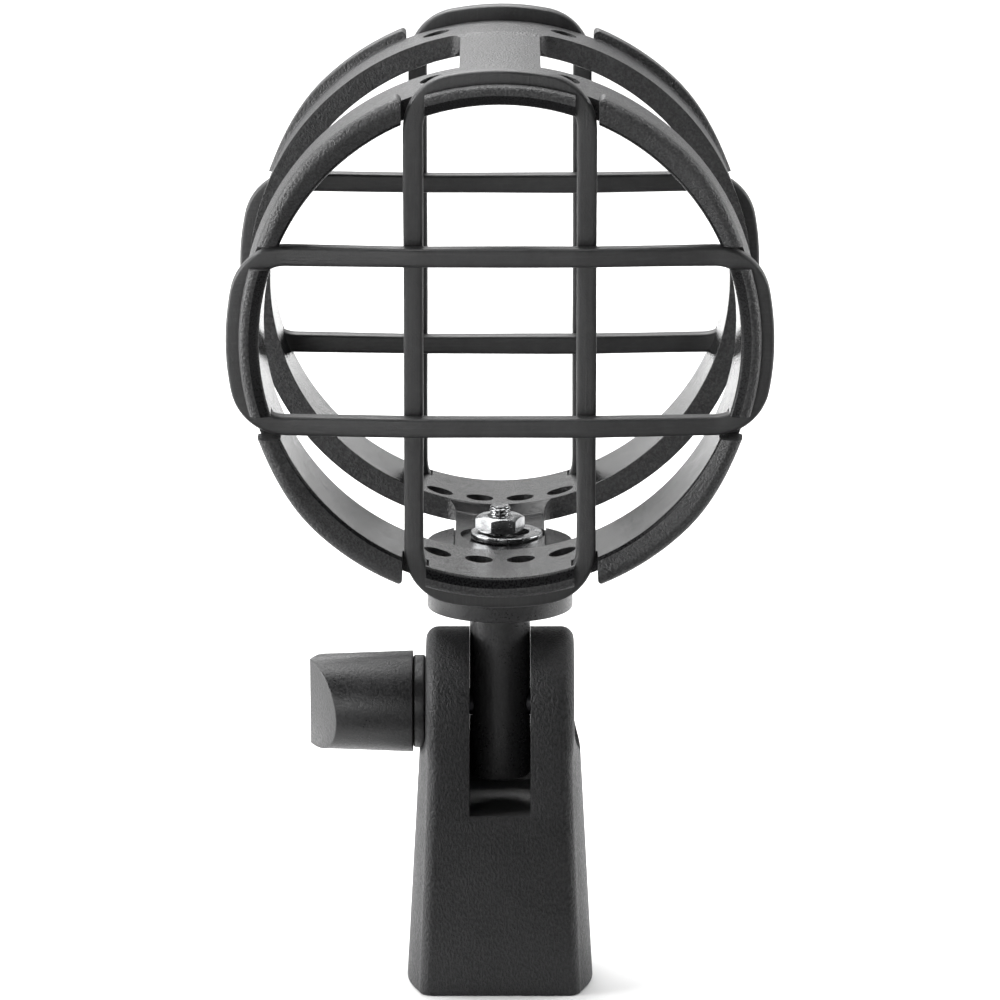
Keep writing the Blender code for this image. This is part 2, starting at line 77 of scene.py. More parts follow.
# Rim sections, each point as (distance behind the end face, radius). The sectors that carry a
# band have a groove, and the four sectors between them stand up as plain blocks, whose rims
# fall a little towards the cage's sides.
BAND_RIM = (
    (1.1, 42.8), (0.65, 43.15), (0.0, 44.7), (0.0, 45.4), (0.35, 46.1), (1.0, 46.45),
    (1.95, 46.45), (1.95, 45.0), (6.05, 45.0), (6.05, 46.15),
)
BLOCK_RIM = (
    (1.4, 42.85), (0.8, 43.3), (0.0, 45.7), (0.0, 46.2), (0.4, 47.1), (1.0, 47.6),
    (2.2, 47.7), (4.0, 47.75), (5.8, 47.8), (6.15, 46.15),
)
BLOCK_TOP_R = 47.8
BLOCK_FALL, FALL_FROM_DEG = 1.1, 44.0

# Bands: elastic loops of square section, each with two straight strands and two arcs in the
# ring's groove.
BAND_HALF, BAND_CORNER = 1.8, 0.75
BAND_Y = 36.5
BAND_ARC_R = 47.05
STRAND_X = 15.4
BEND_R = 8.2
CROSSING_LIFT = 1.95
LIFT_SPREAD = (-2.0, -1.0, 0.0, 1.0, 2.0)
STRAND_STEPS, BEND_STEPS = 30, 14
# Each bend's centre across the opening, its distance along, and the angle it turns through.
BEND_X = STRAND_X - BEND_R
STRAND_REACH = sqrt((BAND_ARC_R - BEND_R) ** 2 - BEND_X**2)
BEND_TURN = pi / 2 - asin(BEND_X / (BAND_ARC_R - BEND_R))

# Notches that a band's strands pass through, beside the blocks and behind the lips.
NOTCH_HALF = 2.1
NOTCH_DEPTH = 6.3
NOTCH_FROM, NOTCH_TO = 34.0, 52.0
NOTCH_FLARE = 0.9
LIP_BACK = 1.9
BLOCK_CORNER_R = 1.0

# Holes beside the bridges: distances of the two rows along Y, and angles from the bridge's middle.
HOLE_R = 2.55
HOLE_FROM, HOLE_TO = 38.0, 52.0
LOW_HOLES = ((-26.4, 23.0), (-15.3, -5.1, 5.1, 15.3))
TOP_HOLES = ((-24.0, 27.2), (-14.8, 14.8))

# Swivelling stem, which carries the cage on a saddle-topped disc.
PIVOT_Z = 52.85
STEM_R = 5.6
STEM_END_Z = 39.0
STEM_EDGE, STEM_EDGE_MIDDLE = 0.5, (0.15, 0.2)
DISC_R = 13.45
DISC_Z, DISC_TOP_Z = 71.0, 83.5
DISC_EDGE, DISC_EDGE_MIDDLE = 0.4, 0.12
DISC_ROOT = 1.0
SADDLE_HALF = 8.5
SADDLE_R = 46.55

# Room around a stud or screw in its bore.
GAP = 0.3

# Fastening of the cage on the disc.
STUD_R = 1.95
STUD_Z, STUD_TOP_Z = 75.0, 90.15
STUD_HOLE_Z, STUD_HOLE_TOP_Z = 80.0, 86.0
SEAT_R, SEAT_Z = 7.9, 83.95
WASHER_R, WASHER_BORE_R, WASHER_X = 6.6, 4.2, 1.2
WASHER_Z, WASHER_TOP_Z = 84.1, 85.2
WASHER_SOFT = 0.22
NUT_FLATS, NUT_Z, NUT_TOP_Z = 7.94, 85.35, 88.2
NUT_TURN_DEG = 9.0

# Stand base: a tapered block with two ears about the stem.
BASE_DEPTH_HALF = 14.0
BASE_FACE_HALF = ((0.0, 15.0), (43.5, 13.4))
BASE_SIDE_HALF = ((0.0, 17.3), (43.5, 14.95))
SHOULDER_Z, EAR_Z = 43.5, 49.5
EAR_HALF = 13.7
EAR_R = 13.9
EAR_EDGE_R = 2.4
BASE_EDGE_R = 2.2
FOOT_EDGE, FOOT_INSET, ABOVE_FOOT_Z = 0.4, 0.025, 4.0
FOOT_SHARES = (0.0, 0.3, 0.7)
BASE_BEVEL, BASE_BEVEL_DEG = 0.4, 50.0
SLOT_HALF, SLOT_Z = 5.65, 34.5
SMOOTH_INSET, SMOOTH_BELOW = 0.5, 0.1
WEB_Y, WEB_TOP_Z = 12.0, 43.2

# Brass stand thread in the base.
INSERT_R, INSERT_BORE_R = 9.5, 7.5
INSERT_Z, INSERT_TOP_Z = 0.3, 16.3
INSERT_EDGE = 0.5
INSERT_SIDES, INSERT_STEPS = 96, 120
THREAD_RELIEF, THREAD_RELIEF_Z, THREAD_RELIEF_TOP_Z = 0.4, 10.0, 20.0

# Clamp across the ears.
SCREW_R = 2.5
SCREW_X, SCREW_END_X = -26.0, 13.2
SCREW_EDGE = 0.5
COLLAR_R, COLLAR_EDGE, COLLAR_SOFT = 8.6, 0.3, 0.2
SPOT_FACE_R, SPOT_FACE_X = 9.1, 13.75
COLLAR_X, COLLAR_END_X = -16.05, -13.8
KNOB_RIDGE_X, KNOB_END_X = -35.2, -16.1
KNOB_OUTER_R, KNOB_INNER_R = 8.7, 9.4
KNOB_FACET_DEPTH, KNOB_SPARE = 4.9, 1.0
KNOB_TURN_DEG = 12.0
KNOB_EDGE, KNOB_BEVEL_DEG = 0.5, 30.0
WEDGE_PAST, WEDGE_OVERLAP, WEDGE_HALF = 5.0, 0.5, 15.0
CLAMP_NUT_FLATS, CLAMP_NUT_X, CLAMP_NUT_END_X = 8.0, 9.3, 13.0

# Both nuts: the round face's share of the flats, its chamfer, and the countersunk bore.
NUT_FACE, NUT_CHAMFER, NUT_CHAMFER_DEG = 0.96, 1.3, 30.0
SINK, SINK_PAST = 0.4, 1.0

# Finer than the CAD model: threads, and the bands' slight unevenness. A thread's flank is
# given as a share of its pitch.
STUD_PITCH, STUD_THREAD, STUD_FLANK = 0.7, 0.3, 0.42
STUD_RUN_OUT, STUD_RUN_OUT_SLOPE = 0.45, 0.9
STAND_PITCH, STAND_THREAD, STAND_FLANK = 0.941, 0.45, 0.45
STEPS_PER_PITCH = 12
BAND_UNEVEN = 0.05

# The studio, in metres: lights are (name, place, size, power). The sky's brightness is one
# number that depends on Y times one that depends on Z, each given as (from, to, value, value).
LENS = 250.56
CAMERA_PLACE, CAMERA_ELEVATION = (0.0, -1.2489, 0.3794), 13.0
LIGHTS = (
    ("overhead", (-0.1, 0.2, 1.8), 1.6, 50.0),
    ("behind", (-0.3, 1.1, 1.15), 0.9, 16.0),
    ("left", (-1.08, -0.1, 0.4), 0.9, 27.0),
    ("front", (-0.36, -1.1, 0.1), 0.5, 4.0),
    ("right", (1.08, 0.15, 0.4), 0.6, 10.0),
)
SKY_AWAY = (0.0, 0.8, 0.02, 1.0)
SKY_UP = (0.03, 0.22, 1.3, 0.5)
FLOOR_HALF = 6.0
FLOOR_DARK, FLOOR_LIGHT = (0.78, 0.78, 0.78), (0.82, 0.82, 0.82)
CARD_FROM, CARD_TO, CARD_Z = (-0.3, -0.42), (0.3, -0.04), 0.001
CARD_DARK, CARD_LIGHT = (0.13, 0.13, 0.13), (0.16, 0.16, 0.16)
WHITE = (1.0, 1.0, 1.0)

# How finely curves are divided, how far cutters run past what they cut, what shades as a sharp
# edge, the hair's breadth that keeps two faces from meeting, and how near points are welded.
ROUND = 128
SMALL_ROUND = 48
FILLET_STEPS, BULGE_STEPS, SWEEP_STEPS = 8, 12, 24
TAPER_STEPS, SHOULDER_STEPS = 8, 12
SHORT, LONG, FAR = 20.0, 30.0, 60.0
ABOVE_EARS_Z, ABOVE_DISC_Z, ABOVE_SADDLE_Z, ABOVE_SEAT_Z = 90.0, 86.0, 90.0, 100.0
SHARP_DEG = 32.0
HAIR = 0.05
BEVEL_SEGMENTS = 3
WELD = 0.01

# The cage's finishes, and how squarely a face looks at the axis to have each of them.
GRAINED, POLISHED, STEP, LIP = range(4)
POLISHED_FROM, STEP_FROM, LIP_FROM = 0.985, 0.58, 0.2

# Colours that two materials share, and the radii in metres to which edges shade.
GLOSS_DARK, GLOSS_LIGHT = (0.006, 0.006, 0.0065), (0.012, 0.012, 0.0125)
RUBBER_DARK, RUBBER_LIGHT = (0.02, 0.02, 0.0205), (0.042, 0.042, 0.043)
MOULDED_EDGE, METAL_EDGE = 0.0002, 0.00012

# The sockets of a Map Range node, in the order that its values are given here.
RANGE = ("From Min", "From Max", "To Min", "To Max")


def mesh_from(name, bm):
    bmesh.ops.recalc_face_normals(bm, faces=bm.faces)
    mesh = bpy.data.meshes.new(name)
    bm.to_mesh(mesh)
    bm.free()
    return mesh


def added(name, data):
    """A new object in the scene."""
    thing = bpy.data.objects.new(name, data)
    bpy.context.scene.collection.objects.link(thing)
    return thing


def evaluated(holder, helpers=()):
    """The object's mesh with its modifiers applied. The object and its helpers are removed."""
    bpy.context.view_layer.update()
    graph = bpy.context.evaluated_depsgraph_get()
    mesh = bpy.data.meshes.new_from_object(holder.evaluated_get(graph))
    for used in (holder, *helpers):
        bpy.data.objects.remove(used, do_unlink=True)
    return mesh


def carved(solid, cutters, operation="DIFFERENCE"):
    """The solid less each cutter, or what it shares with them, as one mesh."""
    body = added("body", mesh_from("body", solid))
    tools = []
    for cutter in cutters:
        tool = added("cutter", mesh_from("cutter", cutter))
        cut = body.modifiers.new("cut", "BOOLEAN")
        cut.operation, cut.solver, cut.object = operation, "EXACT", tool
        tools.append(tool)
    return evaluated(body, tools)


def bevelled(mesh, width, degrees):
    """The mesh with its edges that turn more than this many degrees rounded."""
    holder = added("bevelled", mesh)
    holder.modifiers.new("weld", "WELD").merge_threshold = WELD
    bevel = holder.modifiers.new("bevel", "BEVEL")
    bevel.width, bevel.segments, bevel.angle_limit = width, BEVEL_SEGMENTS, radians(degrees)
    bevel.use_clamp_overlap = True
    return evaluated(holder)


def new_piece(node, mesh, body, materials, pick=None):
    """Adds a finished mesh in its CAD node's place. pick gives a face's material number."""
    mesh.name = node
    mesh.materials.clear()
    for material in materials:
        mesh.materials.append(material)
    if pick:
        for face in mesh.polygons:
            face.material_index = pick(face.center, face.normal)
    mesh.transform(Matrix.Scale(MM, 4))
    piece = added(f"{node}_fine", mesh)
    mesh.shade_smooth()
    mesh.set_sharp_from_angle(angle=radians(SHARP_DEG))
    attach(piece, body)
    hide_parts(node)


def loft(rings, loop=False):
    """A closed solid through rings of points: capped at both ends, or joined up as a loop."""
    bm = bmesh.new()
    rows = [[bm.verts.new(point) for point in ring] for ring in rings]
    count = len(rows[0])
    for lower, upper in zip(rows, rows[1:] + rows[:1] if loop else rows[1:]):
        for i in range(count):
            j = (i + 1) % count
            bm.faces.new((lower[i], lower[j], upper[j], upper[i]))
    if not loop:
        bm.faces.new(rows[0])
        bm.faces.new(rows[-1])
    return bm


def joined(solids):
    """Several solids that don't touch each other, in one mesh."""
    whole = bmesh.new()
    for solid in solids:
        part = bpy.data.meshes.new("part")
        solid.to_mesh(part)
        solid.free()
        whole.from_mesh(part)
        bpy.data.meshes.remove(part)
    return whole


def on_axis(axis, along, radius, angle):
    """A point at a height along X, Y or Z through the origin, and a radius and angle about it."""
    u, v = radius * cos(angle), radius * sin(angle)
    return {"X": (along, u, v), "Y": (u, along, v), "Z": (u, v, along)}[axis]


def shifted(solid, offset):
    bmesh.ops.translate(solid, verts=solid.verts, vec=offset)
    return solid


def turned(axis, profile, sides):
    """A solid turned from (height, radius) points, with flat ends."""
    turn = 2 * pi / sides
    return loft([[on_axis(axis, h, r, i * turn) for i in range(sides)] for h, r in profile])


def rod(axis, start, stop, radius, sides=SMALL_ROUND):
    """A plain cylinder, or a prism of few sides."""
    return turned(axis, ((start, radius), (stop, radius)), sides)


def turned_ring(axis, profile, sides):
    """A ring turned from a closed outline of (height, radius) points that stays off the axis."""
    turn = 2 * pi / sides
    return loft(
        [[on_axis(axis, h, r, i * turn) for h, r in profile] for i in range(sides)], loop=True
    )


def tube_profile(start, stop, inner, outer, edge):
    """Closed outline of a straight sleeve with its outer edges chamfered."""
    return (
        (start, inner), (stop, inner), (stop, outer - edge),
        (stop - edge, outer), (start + edge, outer), (start, outer - edge),
    )


def mixed(a, b, share):
    return a + (b - a) * share


def quarter_turn():
    """Angles from 0 to a right angle, for a fillet."""
    return [radians(90 / FILLET_STEPS * i) for i in range(FILLET_STEPS + 1)]


def eased(share):
    """0 to 1 with a level start and end."""
    share = min(max(share, 0.0), 1.0)
    return share * share * (3 - 2 * share)


def level(table, z):
    """Straight-line value between two (height, value) points, held level beyond them."""
    (z0, a), (z1, b) = table
    return mixed(a, b, min(max((z - z0) / (z1 - z0), 0.0), 1.0))


def softened(outline, reach, steps=3):
    """A closed outline with each corner rounded, at most reach or 0.4 of its shorter side away."""
    soft = []
    for i, corner in enumerate(outline):
        corner = Vector(corner)
        before = Vector(outline[i - 1]) - corner
        after = Vector(outline[(i + 1) % len(outline)]) - corner
        length = min(reach, 0.4 * before.length, 0.4 * after.length)
        a, b = corner + before.normalized() * length, corner + after.normalized() * length
        for k in range(steps + 1):
            t = k / steps
            soft.append(tuple((1 - t) ** 2 * a + 2 * t * (1 - t) * corner + t**2 * b))
    return soft


def ring_section(rim):
    """Closed (y, radius) outline of the whole cage wall, from one end face to the other."""
    outside = [(END_Y - back, r) for back, r in rim[1:]]
    outside.append((END_Y - RING_DEPTH, EDGE_R))
    outside.append((END_Y - RING_DEPTH - BRIDGE_STEP, BRIDGE_OUTER_R))
    inside = [(END_Y - RING_DEPTH - BRIDGE_STEP, BRIDGE_INNER_R)]
    inside.append((END_Y - RING_DEPTH, WAIST_R))
    inside.append((END_Y - rim[0][0], rim[0][1]))
    rear = outside + [(-y, r) for y, r in reversed(outside)]
    return softened(rear + [(-y, r) for y, r in reversed(inside)] + inside, CAGE_SOFT)


def block_rim(from_vertical):
    """A block's rim section, which falls a little towards the cage's sides."""
    share = (from_vertical - FALL_FROM_DEG) / (90 - NEXT_ZONE_DEG - FALL_FROM_DEG)
    fall = BLOCK_FALL * eased(share)
    lowered = tuple((back, r - fall) for back, r in BLOCK_RIM[2:-1])
    return BLOCK_RIM[:2] + lowered + BLOCK_RIM[-1:]


def cage_wall():
    """The two rings and their joining wall, before its windows, notches and holes are cut."""
    rings = []
    for quarter in range(4):
        for i in range(ZONE_STEPS + 1):
            degrees = mixed(-ZONE_HALF_DEG, ZONE_HALF_DEG, i / ZONE_STEPS)
            rings.append((BAND_RIM, degrees, quarter))
        for i in range(BLOCK_STEPS + 1):
            degrees = mixed(NEXT_ZONE_DEG, 90 - NEXT_ZONE_DEG, i / BLOCK_STEPS)
            from_vertical = degrees if quarter % 2 else 90 - degrees
            rings.append((block_rim(from_vertical), degrees, quarter))
    solid = loft(
        [
            [on_axis("Y", y, r, radians(degrees + 90 * quarter)) for y, r in ring_section(rim)]
            for rim, degrees, quarter in rings
        ],
        loop=True,
    )
    return shifted(solid, (0, 0, RING_Z))


def window_cutters(half, low, high):
    """Left and right openings between the rings, with rounded corners beside a bridge."""
    edge, r = END_Y - RING_DEPTH, WINDOW_CORNER_R
    corner = []
    for angle in quarter_turn():
        corner.append((half + r - r * cos(angle), r * sin(angle) + edge - r))
    outline = [(x, -y) for x, y in reversed(corner)] + corner + [(FAR, edge), (FAR, -edge)]
    for side in (1, -1):
        yield loft([[(side * x, y, RING_Z + z) for x, y in outline] for z in (low, high)])


def notch_outline():
    """The (across, outward) outline of one straight notch, which rounds off the block's corner."""
    wall = STRAND_X + NOTCH_HALF
    r = BLOCK_CORNER_R
    corner_z = sqrt((BLOCK_TOP_R - r) ** 2 - (wall + r) ** 2)
    around = asin((wall + r) / (BLOCK_TOP_R - r))
    corner = []
    for i in range(FILLET_STEPS + 1):
        angle = mixed(pi, pi / 2 - around, i / FILLET_STEPS)
        corner.append((wall + r + r * cos(angle), corner_z + r * sin(angle)))
    inside = wall - 2 * NOTCH_HALF
    start = [(wall, NOTCH_FROM), (inside, NOTCH_FROM), (inside, NOTCH_TO)]
    return start + [(corner[-1][0] + NOTCH_FLARE, NOTCH_TO)] + corner[::-1]


def bend_outline():
    """The (across, outward) outline of the room that a band's bend needs behind the lip."""
    clear = BEND_R - NOTCH_HALF + HAIR
    inside = []
    for i in range(BULGE_STEPS + 1):
        angle = BEND_TURN * i / BULGE_STEPS
        inside.append((BEND_X + clear * cos(angle), STRAND_REACH + clear * sin(angle)))
    out = Vector((BEND_X, STRAND_REACH)).normalized()
    return [(STRAND_X, STRAND_REACH)] + inside + [tuple(out * NOTCH_TO), (STRAND_X, NOTCH_TO)]


def rim_cutters(outline, near, far):
    """Sixteen prisms of an outline: eight on each ring, where its four chords end."""
    prisms = []
    for quarter in range(4):
        turn = Matrix.Rotation(quarter * pi / 2, 2)
        for side in (1, -1):
            points = [turn @ Vector((side * x, z)) for x, z in outline]
            for y0, y1 in ((near, far), (-far, -near)):
                prisms.append(loft([[(p.x, y, RING_Z + p.y) for p in points] for y in (y0, y1)]))
    return prisms


def hole_cutters():
    """Round holes through the rings beside both bridges: four in each ring below, two above."""
    for base, (rows, angles) in ((0, TOP_HOLES), (180, LOW_HOLES)):
        for y in rows:
            for degrees in angles:
                hole = rod("Z", HOLE_FROM, HOLE_TO, HOLE_R)
                turn = Matrix.Rotation(radians(base + degrees), 3, "Y")
                bmesh.ops.rotate(hole, verts=hole.verts, matrix=turn)
                yield shifted(hole, (0, y, RING_Z))


def cage_cutters():
    """The windows, then the notches and the room behind them, the holes, and the stud's seat."""
    yield joined(window_cutters(LOW_BRIDGE_HALF, -FAR, 1.0))
    yield joined(window_cutters(TOP_BRIDGE_HALF, -1.0, FAR))
    near = END_Y - NOTCH_DEPTH
    for prisms in (
        rim_cutters(notch_outline(), near, END_Y + 2.0),
        rim_cutters(bend_outline(), near + HAIR, END_Y - LIP_BACK),
    ):
        # Opposite quarters go together, because their prisms are far apart.
        yield joined(prisms[0:4] + prisms[8:12])
        yield joined(prisms[4:8] + prisms[12:16])
    yield joined(hole_cutters())
    seat = rod("Z", SEAT_Z, ABOVE_SEAT_Z, SEAT_R, ROUND)
    yield shifted(seat, (WASHER_X / 2, 0, 0))
    yield rod("Z", STUD_HOLE_Z, STUD_HOLE_TOP_Z, STUD_R + GAP)


def strand_lift(along):
    """How far a strand is pushed aside, from nothing at the ring to full at its two crossings."""
    share = (STRAND_REACH - abs(along)) / (STRAND_REACH - STRAND_X)
    return CROSSING_LIFT * min(share, 1.0)


def band_path():
    """(across, along, lift) points round a band: right strand up, over the top, and down."""
    quarter = []
    for i in range(STRAND_STEPS):
        along = STRAND_REACH * i / STRAND_STEPS
        lift = sum(strand_lift(along + step) for step in LIFT_SPREAD) / len(LIFT_SPREAD)
        quarter.append((STRAND_X, along, max(lift, 0.0)))
    for i in range(BEND_STEPS):
        angle = BEND_TURN * i / BEND_STEPS
        quarter.append((BEND_X + BEND_R * cos(angle), STRAND_REACH + BEND_R * sin(angle), 0.0))
    for i in range(BEND_STEPS):
        angle = mixed(BEND_TURN, pi / 2, i / BEND_STEPS)
        quarter.append((BAND_ARC_R * cos(angle), BAND_ARC_R * sin(angle), 0.0))
    top = [(0.0, BAND_ARC_R, 0.0)]
    right = [(x, -z, lift) for x, z, lift in reversed(quarter[1:])] + quarter
    left = [(-x, z, lift) for x, z, lift in reversed(right)]
    return right + top + left + [(0.0, -BAND_ARC_R, 0.0)]


def band(plane_y, upright, seed):
    """A closed loop, a little uneven. At crossings upright ones bow to +Y and level ones to -Y."""
    points = []
    for across, along, lift in band_path():
        y = plane_y + (lift if upright else -lift)
        x, z = (across, along) if upright else (along, -across)
        points.append(Vector((x, y, z + RING_Z)))
    rings = []
    for i, point in enumerate(points):
        forward = (points[(i + 1) % len(points)] - points[i - 1]).normalized()
        side = forward.cross(Vector((0, 1, 0))).normalized()
        rise = side.cross(forward)
        place = 2 * pi * i / len(points)
        swell = BAND_UNEVEN * (sin(3 * place + seed) + sin(7 * place + 2 * seed)) / 2
        half = BAND_HALF + swell - BAND_UNEVEN
        square = ((half, -half), (half, half), (-half, half), (-half, -half))
        rings.append([point + u * side + v * rise for u, v in softened(square, BAND_CORNER, 6)])
    return loft(rings, loop=True)


def stem():
    """The stem, filleted into the disc that it carries."""
    neck = [
        (DISC_Z - DISC_ROOT + DISC_ROOT * sin(a), STEM_R + DISC_ROOT * (1 - cos(a)))
        for a in quarter_turn()
    ]
    (rise, inset), middle = STEM_EDGE_MIDDLE, DISC_EDGE_MIDDLE
    return turned(
        "Z",
        [
            (STEM_END_Z, STEM_R - STEM_EDGE), (STEM_END_Z + rise, STEM_R - inset),
            (STEM_END_Z + STEM_EDGE, STEM_R), *neck,
            (DISC_Z, DISC_R - DISC_EDGE), (DISC_Z + middle, DISC_R - middle),
            (DISC_Z + DISC_EDGE, DISC_R), (DISC_TOP_Z - DISC_EDGE, DISC_R),
            (DISC_TOP_Z - middle, DISC_R - middle), (DISC_TOP_Z, DISC_R - DISC_EDGE),
        ],
        ROUND,
    )


def saddle_cutter():
    """The shallow channel across the disc that takes the lower bridge."""
    floor = []
    for i in range(SWEEP_STEPS + 1):
        x = mixed(-SADDLE_HALF, SADDLE_HALF, i / SWEEP_STEPS)
        floor.append((x, RING_Z - sqrt(SADDLE_R**2 - x * x)))
    outline = floor + [(SADDLE_HALF, ABOVE_SADDLE_Z), (-SADDLE_HALF, ABOVE_SADDLE_Z)]
    return loft([[(x, y, z) for x, z in outline] for y in (-SHORT, SHORT)])


def screw_bore():
    """The clamp screw's way through the ears and the stem."""
    return shifted(rod("X", -SHORT, SHORT, SCREW_R + GAP), (0, 0, PIVOT_Z))


def stem_cutters():
    yield saddle_cutter()
    yield rod("Z", STUD_Z - GAP, ABOVE_DISC_Z, STUD_R + GAP)
    yield screw_bore()


def nut(axis, flats, heights, bore, z=0.0, turn=0.0):
    """A hexagonal nut on an axis: a prism within a double cone, with a plain bore through it."""
    start, stop = heights
    prism = rod(axis, start, stop, flats / sqrt(3), 6)
    face = NUT_FACE * flats / 2
    wide, rise = face + NUT_CHAMFER, NUT_CHAMFER * tan(radians(NUT_CHAMFER_DEG))
    chamfered = ((start, face), (start + rise, wide), (stop - rise, wide), (stop, face))
    cone = turned(axis, chamfered, 2 * SMALL_ROUND)
    mesh = carved(prism, [cone], "INTERSECT")
    mesh.transform(Matrix.Rotation(radians(turn), 4, axis))
    solid = bmesh.new()
    solid.from_mesh(mesh)
    sunk = bore + SINK + SINK_PAST
    profile = (
        (start - SINK_PAST, sunk), (start + SINK, bore), (stop - SINK, bore),
        (stop + SINK_PAST, sunk),
    )
    hole = turned(axis, profile, SMALL_ROUND)
    return carved(shifted(solid, (0, 0, z)), [shifted(hole, (0, 0, z))])


def thread_height(z, turn, pitch, depth, flank):
    """A helical ridge's height at a level and a share of a turn."""
    phase = (z / pitch - turn) % 1.0
    return depth * max(0.0, 1 - abs(phase - 0.5) / flank)


def stud():
    """A bar up Z cut with a helical thread, which runs out into a small chamfer at each end."""
    rings = []
    count = round((STUD_TOP_Z - STUD_Z) / STUD_PITCH * STEPS_PER_PITCH)
    for i in range(count + 1):
        z = mixed(STUD_Z, STUD_TOP_Z, i / count)
        end = min(z - STUD_Z, STUD_TOP_Z - z)
        top = STUD_R - max(0.0, STUD_RUN_OUT - end) * STUD_RUN_OUT_SLOPE
        ring = []
        for k in range(SMALL_ROUND):
            turn = k / SMALL_ROUND
            groove = thread_height(z, turn, STUD_PITCH, STUD_THREAD, STUD_FLANK)
            ring.append(on_axis("Z", z, min(STUD_R - groove, top), 2 * pi * turn))
        rings.append(ring)
    return loft(rings)


def base_outline(z):
    """One quarter of the base's plan at a height, from its front face round to its side."""
    face, side = level(BASE_FACE_HALF, z), level(BASE_SIDE_HALF, z)
    share = eased((z - SHOULDER_Z) / (EAR_Z - SHOULDER_Z))
    face, side = mixed(face, EAR_HALF, share), mixed(side, EAR_HALF, share)
    edge = BASE_EDGE_R
    quarter = []
    for angle in quarter_turn():
        x = face - edge + edge * sin(angle)
        y = BASE_DEPTH_HALF - edge + edge * cos(angle)
        quarter.append((x, y))
    reach = BASE_DEPTH_HALF - edge
    for i in range(1, BULGE_STEPS + 1):
        y = reach * (1 - i / BULGE_STEPS)
        bulge = (side - face) * (1 - (y / reach) ** 2)
        quarter.append((face + bulge, y))
    return quarter


def ear_outline(z):
    """One quarter of the ears' plan above the clamp axis, inside their rounded top edge."""
    rise = z - PIVOT_Z
    low = EAR_R - EAR_EDGE_R
    last = pi / 2 if rise <= low else asin(sqrt(max(1 - ((rise - low) / EAR_EDGE_R) ** 2, 0.0)))
    quarter = []
    for i in range(FILLET_STEPS + 1):
        angle = last * i / FILLET_STEPS
        r = low + EAR_EDGE_R * cos(angle)
        x = EAR_HALF - EAR_EDGE_R + EAR_EDGE_R * sin(angle)
        quarter.append((x, sqrt(max(r * r - rise * rise, 0.0))))
    x, y = quarter[-1]
    return quarter + [(x, y * (1 - i / BULGE_STEPS)) for i in range(1, BULGE_STEPS + 1)]


def whole_outline(quarter, z):
    """A plan at a height, mirrored out of one quarter of it."""
    right = quarter + [(x, -y) for x, y in reversed(quarter[:-1])]
    return [(x, y, z) for x, y in right] + [(-x, y, z) for x, y in reversed(right)]


def base_block():
    """The base's outside: its rounded foot, tapered block, shoulders and ears."""
    rings = []
    for share in FOOT_SHARES:
        inset = 1 - FOOT_INSET * (1 - share) ** 2
        outline = whole_outline(base_outline(0.0), FOOT_EDGE * share)
        rings.append([(inset * x, inset * y, z) for x, y, z in outline])
    heights = [FOOT_EDGE]
    heights += [mixed(ABOVE_FOOT_Z, SHOULDER_Z, i / TAPER_STEPS) for i in range(TAPER_STEPS + 1)]
    heights += [
        mixed(SHOULDER_Z, EAR_Z, (i + 1) / SHOULDER_STEPS) for i in range(SHOULDER_STEPS)
    ]
    rings += [whole_outline(base_outline(z), z) for z in heights]
    for i in range(SWEEP_STEPS + 1):
        z = PIVOT_Z + (EAR_R - HAIR) * sin(pi / 2 * i / SWEEP_STEPS)
        rings.append(whole_outline(ear_outline(z), z))
    return loft(rings)


def slot_cutter():
    """The stem's slot, open at the front and, above a low web, at the rear."""
    outline = (
        (-SHORT, SLOT_Z), (WEB_Y, SLOT_Z), (WEB_Y, WEB_TOP_Z),
        (SHORT, WEB_TOP_Z), (SHORT, ABOVE_EARS_Z), (-SHORT, ABOVE_EARS_Z),
    )
    return loft([[(x, y, z) for y, z in outline] for x in (-SLOT_HALF, SLOT_HALF)])


def base_cutters():
    """The slot, spot faces, the insert's socket, the screw's bore and the nut's pocket."""
    yield slot_cutter()
    for start, stop in ((-LONG, -SPOT_FACE_X), (SPOT_FACE_X, LONG)):
        yield shifted(rod("X", start, stop, SPOT_FACE_R, ROUND), (0, 0, PIVOT_Z))
    yield rod("Z", -1.0, INSERT_TOP_Z + GAP, INSERT_R + GAP, ROUND)
    relief_r = INSERT_BORE_R + THREAD_RELIEF
    yield rod("Z", THREAD_RELIEF_Z, THREAD_RELIEF_TOP_Z, relief_r, ROUND)
    yield screw_bore()
    reach = CLAMP_NUT_FLATS / sqrt(3) + 2 * GAP
    yield shifted(rod("X", CLAMP_NUT_X - GAP, SHORT, reach, 6), (0, 0, PIVOT_Z))


def insert():
    """The threaded sleeve, its inner wall cut with a helical thread."""
    rings = []
    edge = INSERT_EDGE
    for k in range(INSERT_SIDES):
        turn = k / INSERT_SIDES
        section = [(INSERT_TOP_Z, INSERT_R - edge), (INSERT_TOP_Z - edge, INSERT_R)]
        section += [(INSERT_Z + edge, INSERT_R), (INSERT_Z, INSERT_R - edge)]
        for i in range(INSERT_STEPS + 1):
            z = mixed(INSERT_Z, INSERT_TOP_Z, i / INSERT_STEPS)
            ridge = thread_height(z, turn, STAND_PITCH, STAND_THREAD, STAND_FLANK)
            section.append((z, INSERT_BORE_R + STAND_THREAD - ridge))
        rings.append([on_axis("Z", z, r, 2 * pi * turn) for z, r in section])
    return loft(rings, loop=True)


